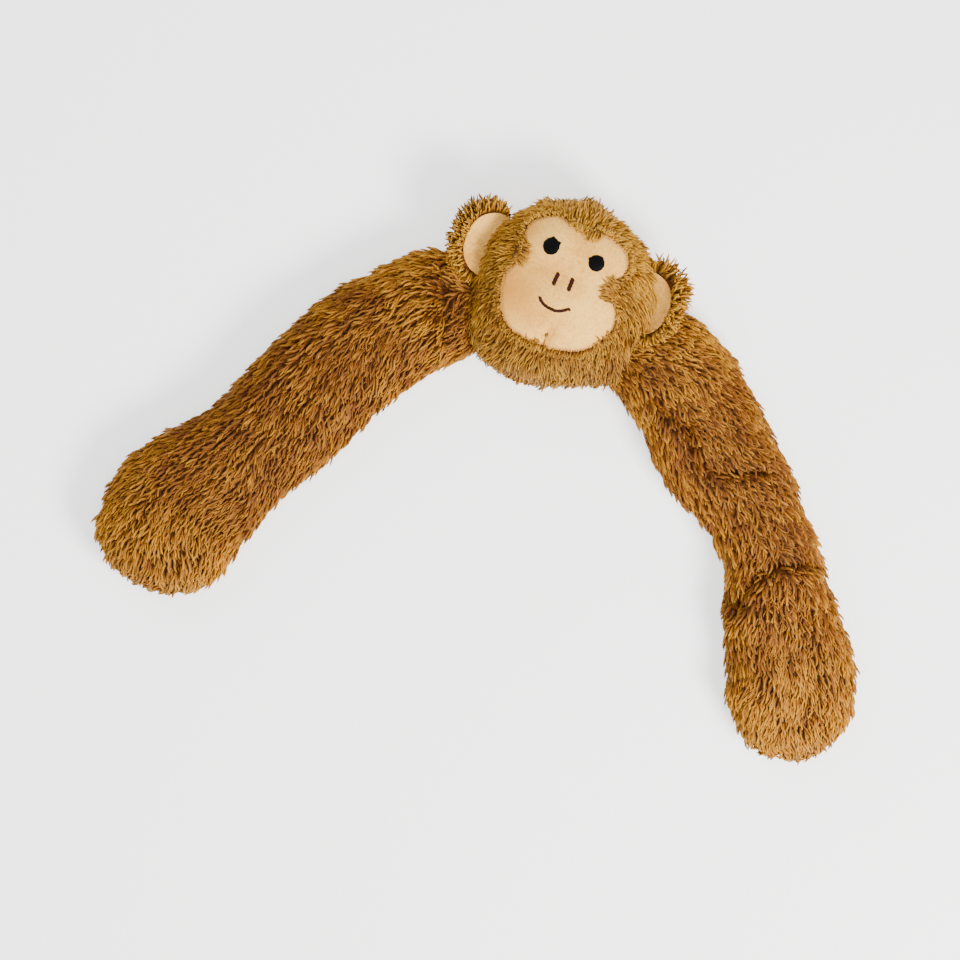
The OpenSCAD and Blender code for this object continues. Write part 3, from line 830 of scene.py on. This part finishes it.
def grow_fringes(height):
    roots, flows, lengths, over = [], [], [], []
    for (x, y), way, spread, count, reach in FRINGES:
        way = unit(np.array(way))
        side = np.array([-way[1], way[0]])
        offset = random.uniform(-1, 1, count)
        back = random.uniform(-3.0, 0.8, count)
        roots.append(np.array([x, y]) + side * (offset * spread)[:, None] + way * back[:, None])
        flows.append(level(way + side * (offset * 0.35)[:, None]))
        lengths.append(reach * (1 - 0.35 * offset ** 2) * random.uniform(0.75, 1.15, count))
        over.append(roots[-1] + way * reach * 0.5)
    xy = np.concatenate(roots)
    count = len(xy)
    z = np.maximum(height(xy) + 1.5, height(np.concatenate(over)) - 0.5)
    root = level(xy, z + random.uniform(0, 1.6, count))
    return grow("brow_fur", root, UP, unit(np.concatenate(flows)), np.concatenate(lengths),
                random.uniform(0.45, 0.75, count), tone_of(root, 0.66),
                random.uniform(0.15, 0.4, count), 0.4, 0.4)


def patch_ring(count, start, depth):
    """Places all round the patch's edge, from start outside it to depth further, and the ways outwards."""
    angle = random.uniform(0, 2 * math.pi, count)
    way = compass(angle)
    outside = start + depth * random.uniform(0, 1, count)
    return HUB + way * (patch_reach(angle) + outside)[:, None], level(way)


def grow_collar(height):
    """Short pile that stands against the patch's edge all round and hides the step under it."""
    count = COLLAR_LOCKS
    xy, way = patch_ring(count, 0.3, 1.9)
    root = level(xy, height(xy) + random.uniform(-0.3, 1.0, count))
    flow = way + np.array([0.0, -0.5, 0.0]) + random.normal(0, 0.3, (count, 3))
    return grow("collar_fur", root, UP, unit(flow), random.uniform(3.5, 5.5, count),
                random.uniform(0.5, 0.8, count), tone_of(root, head_tone(xy[:, 1])),
                random.uniform(0.35, 0.7, count), 0.35, 0.3)


def grow_velour_rim(height):
    """The patch's own short nap, standing out all round its cut edge."""
    count = NAP_LOCKS
    xy, way = patch_ring(count, 0.1, -1.3)
    flow = way + random.normal(0, 0.35, (count, 3))
    return grow("face_nap", level(xy, height(xy) + 0.5), UP, unit(flow),
                random.uniform(0.9, 1.7, count), random.uniform(0.16, 0.28, count),
                random.uniform(0.2, 0.9, count), np.full(count, 0.25), 0.1, 0.2)


# ---------------- ears

EAR_ROWS, EAR_COLUMNS = 20, 30
EAR_ROOT = -9.0  # where an ear starts, inside the head's pile
EAR_HALF_H = 21.0
EAR_REACH = {"left": 16.0, "right": 17.0}
LINING_HALF_H = 19.5
LINING_REACH = {"left": 12.3, "right": 14.2}
EAR_CUP = 3.2
EAR_TUFT = {"left": 3.0, "right": 5.5}  # how much longer the pile is at an ear's upper end
EAR_LEAN = math.radians(20)
EAR_BACK_T = 3.0
LINING_T = 1.0
EAR_GRAIN = 1.4  # size of the faces that an ear's locks stand on


def ear_frame(side):
    """An ear's pivot, and its directions out from the head, up along its base, and out of its face."""
    out = np.array([SIGN[side] * math.cos(EAR_LEAN), 0, math.sin(EAR_LEAN)])
    face = np.array([-SIGN[side] * math.sin(EAR_LEAN), 0, math.cos(EAR_LEAN)])
    up = np.array([0.0, 1.0, 0.0])
    return JOINTS[f"{side}_ear_flop"], out, up, face


def ear_grid(side, reach, half_h):
    """Points of a cupped flap, in rows from its root outwards, each from its lower end to its upper."""
    pivot, out, up, face = ear_frame(side)
    grid = []
    for share in np.linspace(0, 1, EAR_ROWS):
        row = []
        for angle in np.radians(np.linspace(-90, 90, EAR_COLUMNS)):
            x = EAR_ROOT + (reach - EAR_ROOT) * share * abs(math.cos(angle)) ** 0.8
            y = half_h * math.copysign(abs(math.sin(angle)) ** 0.9, angle) * (0.85 + 0.15 * share)
            rise = EAR_CUP * ((max(x, 0) / 17) ** 2 + 0.8 * (y / 20) ** 2 - 0.5)
            row.append(pivot + out * x + up * y + face * rise)
        grid.append(row)
    return np.array(grid)


def slab(name, grid, normal, thick, push):
    """A closed sheet that is thick along normal, with its underside push in front of a grid of points."""
    rows, columns = grid.shape[:2]
    top = (grid + normal * (push + thick)).reshape(-1, 3)
    bottom = (grid + normal * push).reshape(-1, 3)
    layer = rows * columns
    faces = []
    for i in range(rows - 1):
        for j in range(columns - 1):
            a = i * columns + j
            d = a + columns
            faces += [(a, a + 1, d + 1, d), (layer + a, layer + d, layer + d + 1, layer + a + 1)]
    loop = [(0, j) for j in range(columns)] + [(i, columns - 1) for i in range(1, rows)]
    loop += [(rows - 1, j) for j in range(columns - 2, -1, -1)] + [(i, 0) for i in range(rows - 2, 0, -1)]
    ring = [i * columns + j for i, j in loop]
    for a, b in zip(ring, ring[1:] + ring[:1]):
        faces.append((a, layer + a, layer + b, b))
    obj = poly_mesh(name, np.r_[top, bottom], faces)
    fix = bmesh.new()
    fix.from_mesh(obj.data)
    bmesh.ops.remove_doubles(fix, verts=fix.verts, dist=0.02 * MM)
    bmesh.ops.recalc_face_normals(fix, faces=fix.faces)
    fix.to_mesh(obj.data)
    fix.free()
    obj.data.shade_smooth()
    return obj


def make_ear(side):
    face = ear_frame(side)[3]
    back = slab(f"{side}_ear_cover", ear_grid(side, EAR_REACH[side], EAR_HALF_H), face, EAR_BACK_T, -2.8)
    lining = slab(f"{side}_ear_cloth", ear_grid(side, LINING_REACH[side], LINING_HALF_H), face, LINING_T, 0.8)
    return back, lining


def grow_ear(side, cover):
    pivot, out, up, face = ear_frame(side)
    subject = add_object("subject", cover.data.copy())
    remesh(subject, EAR_GRAIN)
    root, normal = face_roots(subject, 0.35)
    bpy.data.objects.remove(subject)
    rel = root - pivot
    x, y = rel @ out, rel @ up
    toward = normal @ face
    radial = unit(out * (x + 9)[:, None] + up * (y * 1.1)[:, None])
    edge = (np.maximum(x, 0) / LINING_REACH[side]) ** 2.3 + (np.abs(y) / LINING_HALF_H) ** 2.3
    keep = (x > -7.5) & ((toward < 0.3) | (edge > 0.86))
    root, normal, radial, toward, edge, x, y = (a[keep] for a in (root, normal, radial, toward, edge, x, y))
    root = root + face * (1.3 * (toward > 0.3))[:, None]
    flow = radial + random.normal(0, 0.2, radial.shape)
    top = smoothstep(y / 18)
    length = np.where(edge > 0.9, 8.2 + EAR_TUFT[side] * top, 7.5) * random.uniform(0.8, 1.15, len(root))
    length *= 0.55 + 0.45 * smoothstep((x + 6) / 8)
    lift = np.where(toward > 0.3, 0.35, 0.2) + random.uniform(0, 0.25, len(root))
    return grow(f"{side}_ear_fur", root, normal, flow, length, random.uniform(0.55, 0.9, len(root)),
                tone_of(root, 0.8), lift, 0.5, 0.5)


# ---------------- materials


def srgb(r, g, b):
    parts = (r / 255, g / 255, b / 255)
    return (*[c / 12.92 if c <= 0.04045 else ((c + 0.055) / 1.055) ** 2.4 for c in parts], 1.0)


class Paint:
    """A material being made, with short ways to add nodes to it and join them."""

    def __init__(self, name):
        self.material = bpy.data.materials.new(name)
        self.material.use_nodes = True
        self.nodes = self.material.node_tree.nodes
        self.links = self.material.node_tree.links

    def feed(self, sockets, values):
        """Joins each value that is another node's output to its socket, and sets the socket to any other."""
        for key, value in values.items():
            if hasattr(value, "links"):
                self.links.new(value, sockets[key])
            else:
                sockets[key].default_value = value

    def add(self, kind, values, **settings):
        node = self.nodes.new("ShaderNode" + kind)
        for setting, value in settings.items():
            setattr(node, setting, value)
        self.feed(node.inputs, values)
        return node.outputs

    def place(self):
        return self.add("TexCoord", {})["Object"]

    def noise(self, place, scale, detail=2.0, rough=0.5):
        values = {"Vector": place, "Scale": scale, "Detail": detail, "Roughness": rough}
        return self.add("TexNoise", values)["Fac"]

    def math(self, operation, a, b):
        return self.add("Math", {0: a, 1: b}, operation=operation)[0]

    def mix(self, share, a, b):
        return self.add("Mix", {0: share, 6: a, 7: b}, data_type="RGBA")[2]

    def ramp(self, share, stops):
        """A run of colours. Each stop is its place and its red, green and blue from 0 to 255."""
        node = self.nodes.new("ShaderNodeValToRGB")
        elements = node.color_ramp.elements
        while len(elements) < len(stops):
            elements.new(0.5)
        for element, (at, colour) in zip(elements, stops):
            element.position = at
            element.color = srgb(*colour)
        self.feed(node.inputs, {0: share})
        return node.outputs[0]

    def bump(self, height, strength, depth):
        return self.add("Bump", {"Strength": strength, "Distance": depth * MM, "Height": height})[0]

    def finish(self, colour, roughness, gloss, **others):
        values = {"Base Color": colour, "Roughness": roughness, "Specular IOR Level": gloss}
        values.update({name.replace("_", " "): value for name, value in others.items()})
        self.feed(self.nodes["Principled BSDF"].inputs, values)
        return self.material


def fur_material(name, dark, light):
    """Pile coloured from root to tip. Each lock's tone chooses between a dark and a light run of colour."""
    paint = Paint(name)
    lock = paint.add("SeparateXYZ", {0: paint.add("UVMap", {}, uv_map="OFBake")[0]})
    dark_run = paint.ramp(lock[1], list(zip((0.0, 0.45, 0.95), dark)))
    light_run = paint.ramp(lock[1], list(zip((0.0, 0.4, 0.9), light)))
    across = paint.math("MULTIPLY", lock[0], 260.0)
    along = paint.math("MULTIPLY", lock[1], 2.5)
    streak = paint.noise(paint.add("CombineXYZ", {0: across, 1: along})[0], 1.0)
    offset = paint.math("MULTIPLY", paint.math("SUBTRACT", streak, 0.5), 0.9)
    colour = paint.mix(paint.math("ADD", lock[0], offset), dark_run, light_run)
    gold = srgb(255, 214, 150)
    return paint.finish(colour, 0.62, 0.2, Sheen_Weight=0.06, Sheen_Roughness=0.5, Sheen_Tint=gold)


def cloth_material(name, base, shade, grain, depth, sheen, patches=60.0, shade_spots=()):
    """Short-napped cloth: patchy colour, fine fibre grain and a little sheen, and soft round spots of
    painted shade.

    A spot of painted shade is its middle (x, y), how far it spreads and its strength."""
    paint = Paint(name)
    place = paint.place()
    broad = paint.noise(place, patches, 3.0)
    fine = paint.noise(place, grain, 5.0, 0.65)
    spread = paint.math("ADD", paint.math("MULTIPLY", broad, 0.5), paint.math("MULTIPLY", fine, 0.5))
    colour = paint.ramp(spread, [(0.36, shade), (0.58, base)])
    if shade_spots:
        flat = paint.add("VectorMath", {0: place, 1: (1, 1, 0)}, operation="MULTIPLY")[0]
    # Each spot mixes painted shade into the colour, strongest at its middle.
    for (x, y), reach, strength in shade_spots:
        far = paint.add("VectorMath", {0: flat, 1: (x * MM, y * MM, 0)}, operation="DISTANCE")["Value"]
        fade = {"Value": far, "From Max": reach * MM, "To Min": strength, "To Max": 0.0}
        share = paint.add("MapRange", fade, interpolation_type="SMOOTHSTEP")[0]
        colour = paint.mix(share, colour, srgb(*FACE_SHADE_COLOUR))
    bump = paint.bump(fine, 0.6, depth)
    return paint.finish(colour, 0.85, 0.2, Sheen_Weight=sheen, Sheen_Roughness=0.4, Normal=bump)


def thread_material(name, base, light):
    """Satin-stitched thread: fine parallel strands with a soft gloss."""
    paint = Paint(name)
    strands = paint.add("TexWave", {"Vector": paint.place(), "Scale": 900.0, "Distortion": 1.5},
                        wave_type="BANDS", bands_direction="DIAGONAL")["Fac"]
    colour = paint.ramp(strands, [(0.2, base), (0.9, light)])
    return paint.finish(colour, 0.6, 0.07, Normal=paint.bump(strands, 0.5, 0.15))


def plastic_material(name, base, shade):
    """Slightly cloudy moulded plastic."""
    paint = Paint(name)
    return paint.finish(paint.ramp(paint.noise(paint.place(), 90.0), [(0.3, shade), (0.7, base)]), 0.4, 0.5)


def dress(obj, mat):
    obj.data.materials.clear()
    obj.data.materials.append(mat)
    return obj


VELOUR = ((240, 186, 92), (204, 138, 50))
FACE_SHADE_COLOUR = (206, 132, 44)  # the colour of the painted shade on the face's left cheek and temple
# Spots of painted shade on the face's left side: middle (x, y), how far, strength
FACE_SHADE_SPOTS = [((-25, -8), 24, 0.75), ((-12, -18), 14, 0.4), ((-28, 26), 11, 0.5), ((-12, 9), 12, 0.35)]
FUR = fur_material(
    "golden_pile",
    [(58, 21, 1), (98, 49, 3), (126, 78, 8)],
    [(82, 36, 2), (156, 97, 8), (200, 145, 30)],
)
HEAD_FUR = fur_material(
    "honey_pile",
    [(66, 32, 2), (108, 62, 4), (138, 92, 10)],
    [(90, 48, 4), (166, 110, 14), (214, 162, 48)],
)
# The backing's own brown, made darker as painted shade where it shows in the gaps between locks.
BACKING = cloth_material("pile_backing", (100, 51, 5), (66, 31, 3), 1400.0, 0.25, 0.05)
CREAM = cloth_material("cream_velour", *VELOUR, 620.0, 0.6, 0.06, 38.0)
# The face's velour, with painted shade on its left side.
FACE_CREAM = cloth_material("face_velour", *VELOUR, 620.0, 0.6, 0.06, 38.0, FACE_SHADE_SPOTS)
CREAM_NAP = fur_material(
    "cream_nap",
    [(196, 136, 58), (212, 154, 70), (224, 170, 84)],
    [(206, 148, 66), (226, 172, 84), (236, 186, 98)],
)
BLACK = thread_material("black_thread", (0, 0, 0), (4, 4, 5))
BROWN = thread_material("brown_thread", (36, 14, 8), (60, 30, 20))
PLASTIC = plastic_material("squeaker_plastic", (222, 226, 232), (196, 202, 210))


# ---------------- assembly


def cut_cover(arm, cover):
    """Cuts an arm's cover across into closed pieces, one for each joint."""
    cuts = arm_cuts(arm)
    pieces = []
    for part, (lo, hi) in enumerate(zip(cuts[:-1], cuts[1:])):
        body = bmesh.new()
        body.from_mesh(cover.data)
        for s, outward in ((lo, -1), (hi, 1)):
            if 0 < s < arm.length:
                mid, way = arm.at(s)
                bmesh.ops.bisect_plane(
                    body, geom=body.verts[:] + body.edges[:] + body.faces[:], dist=1e-6,
                    plane_co=(mid[0] * MM, mid[1] * MM, 0), plane_no=(way[0] * outward, way[1] * outward, 0),
                    clear_outer=True)
                bmesh.ops.holes_fill(body, edges=[e for e in body.edges if e.is_boundary], sides=0)
        bmesh.ops.triangulate(body, faces=[f for f in body.faces if len(f.verts) > 4])
        mesh = bpy.data.meshes.new(f"{arm.side}_{PART_NAMES[part]}_cover")
        body.to_mesh(mesh)
        body.free()
        mesh.shade_smooth()
        pieces.append(add_object(mesh.name, mesh))
    bpy.data.objects.remove(cover)
    return pieces


def bend_with(obj, arm, part):
    """Bakes the piece's placement into its mesh. The span of the joint that it covers is found but not used.
    """
    side = arm.side
    spans = [
        ("head", f"{side}_shoulder", arm.shoulder - 14, arm.shoulder + 24),
        (f"{side}_shoulder", f"{side}_upper_arm", arm.shoulder + 27, arm.shoulder + 54),
        (f"{side}_upper_arm", f"{side}_forearm", arm.elbow - 30, arm.elbow + 32),
        (f"{side}_forearm", f"{side}_hand", arm.wrist - 28, arm.wrist + 30),
    ]
    a, b, lo, hi = spans[part]
    start, end = arm.at(lo)[0] * MM, arm.at(hi)[0] * MM
    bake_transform(obj)


EYES = {  # middle, half width, half height, and where a stitch sticks out: angle, how far
    "left": ((-13.6, 22.9), 4.8, 5.2, [(95, 0.14), (38, 0.22)]),
    "right": ((14.2, 22.9), 4.7, 4.9, [(168, 0.2), (60, 0.05)]),
}
NOSTRILS = [[(-4.0, 10.0), (-4.4, 6.2), (-4.6, 1.9)], [(4.8, 10.0), (4.8, 6.2), (4.6, 1.9)]]
MOUTH = [(-9.4, -6.7), (-8.1, -8.6), (-5.7, -10.2), (-2.7, -11), (1.6, -11.4), (4.7, -10.4), (6.9, -9),
         (8.5, -7.6), (9.8, -8.4)]


def build_face(height):
    patch = dress(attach(make_patch(height), "head"), FACE_CREAM)
    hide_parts("face_patch")
    for side in SIDES:
        eye = make_eye(f"{side}_eye", *EYES[side], height)
        dress(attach(eye, "head"), BLACK)
        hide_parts(f"{side}_eye_embroidery")
    nostrils = make_stitch_line("nostrils", NOSTRILS, 2.5, height)
    mouth = make_stitch_line("mouth", [MOUTH], 1.9, height)
    for lines, node in ((nostrils, "nostril_embroidery"), (mouth, "mouth_embroidery")):
        dress(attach(lines, "head"), BROWN)
        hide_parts(node)


def build_head():
    cover = make_head_cover()
    height = surface_reader(cover)
    dress(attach(cover, "head"), BACKING)
    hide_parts("head_front_panel", "head_back_panel", "head_stuffing")
    build_face(height)
    for fur in (*grow_head(cover), grow_fringes(height), grow_collar(height)):
        dress(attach(fur, "head"), HEAD_FUR)
    dress(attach(grow_velour_rim(height), "head"), CREAM_NAP)
    for name in ("squeaker_bulb", "squeaker_reed"):
        frame["nodes"][name].data.materials.clear()
        frame["nodes"][name].data.materials.append(PLASTIC)


def build_ear(side):
    back, lining = make_ear(side)
    fur = grow_ear(side, back)
    dress(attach(back, f"{side}_ear"), BACKING)
    dress(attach(lining, f"{side}_ear"), CREAM)
    dress(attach(fur, f"{side}_ear"), HEAD_FUR)
    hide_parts(f"{side}_ear_back")
    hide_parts(f"{side}_ear_lining")


def build_arm(side):
    arm = Arm(side)
    whole = make_arm_cover(arm)
    furs = grow_arm(arm, whole)
    covers = cut_cover(arm, whole)
    for part, (piece, fur) in enumerate(zip(covers, furs)):
        bend_with(piece, arm, part)
        bend_with(fur, arm, part)
        dress(piece, BACKING)
        dress(fur, FUR)
    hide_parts(f"{side}_shoulder_gather")
    for piece, node in zip(covers[1:], ("upper_arm", "forearm", "hand")):
        solids = [f"{side}_{node}_{kind}" for kind in ("front_panel", "back_panel", "stuffing")]
        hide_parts(*solids)


build_head()
for arm_side in SIDES:
    build_ear(arm_side)
    build_arm(arm_side)

# ---------------- stage, lights, camera

FLOOR = 8000  # length of the floor's sides, in millimetres
LENS = 220
SENSOR = 36
VIEW = 0.5568  # width of the floor that the camera sees, in metres
ROLL = math.radians(21)  # how far the toy's up lies from the picture's
AIM = (0, -0.1, 0.02)  # what the lamps point at
SKY = 0.65  # strength of the light from all round

# The lamps: name, place, diameter, power in watts, colour
LAMPS = [
    ("key", (0.95, -0.55, 1.15), 0.6, 56, (1, 0.98, 0.95)),
    ("fill", (-1.1, 0.5, 1.2), 1.2, 12, (0.97, 0.99, 1)),
    ("top", (0, -0.1, 2.2), 1.2, 24, (1, 1, 1)),
]


def make_stage():
    far = FLOOR / 2
    corners = [(-far, -far, 0), (far, -far, 0), (far, far, 0), (-far, far, 0)]
    floor = poly_mesh("floor", corners, [(0, 1, 2, 3)])
    white = {"Emission Color": (1, 1, 1, 1), "Emission Strength": 1.1}
    paint = Paint("floor_paint")
    paint.feed(paint.nodes["Principled BSDF"].inputs, white)
    floor.data.materials.append(paint.finish((0.9, 0.9, 0.9, 1), 0.9, 0.5))


def make_lamp(name, place, size, power, colour):
    data = bpy.data.lights.new(name, "AREA")
    data.shape = "DISK"
    data.size = size
    data.energy = power
    data.color = colour
    lamp = add_object(name, data)
    lamp.location = place
    lamp.rotation_euler = (Vector(AIM) - Vector(place)).to_track_quat("-Z", "Y").to_euler()


def make_sky():
    world = bpy.data.worlds.new("studio")
    world.use_nodes = True
    background = world.node_tree.nodes["Background"]
    background.inputs[0].default_value = (1, 1, 1, 1)
    background.inputs[1].default_value = SKY
    bpy.context.scene.world = world


def make_camera():
    """Looks straight down at the middle of the toy, from so far that VIEW fills the picture."""
    data = bpy.data.cameras.new("camera")
    data.lens = LENS
    data.sensor_width = SENSOR
    camera = add_object("camera", data)
    camera.location = (-0.0037, -0.1174, 0.03 + VIEW * LENS / SENSOR)
    camera.rotation_euler = (0, 0, ROLL)
    bpy.context.scene.camera = camera


make_stage()
for lamp_row in LAMPS:
    make_lamp(*lamp_row)
make_sky()
make_camera()
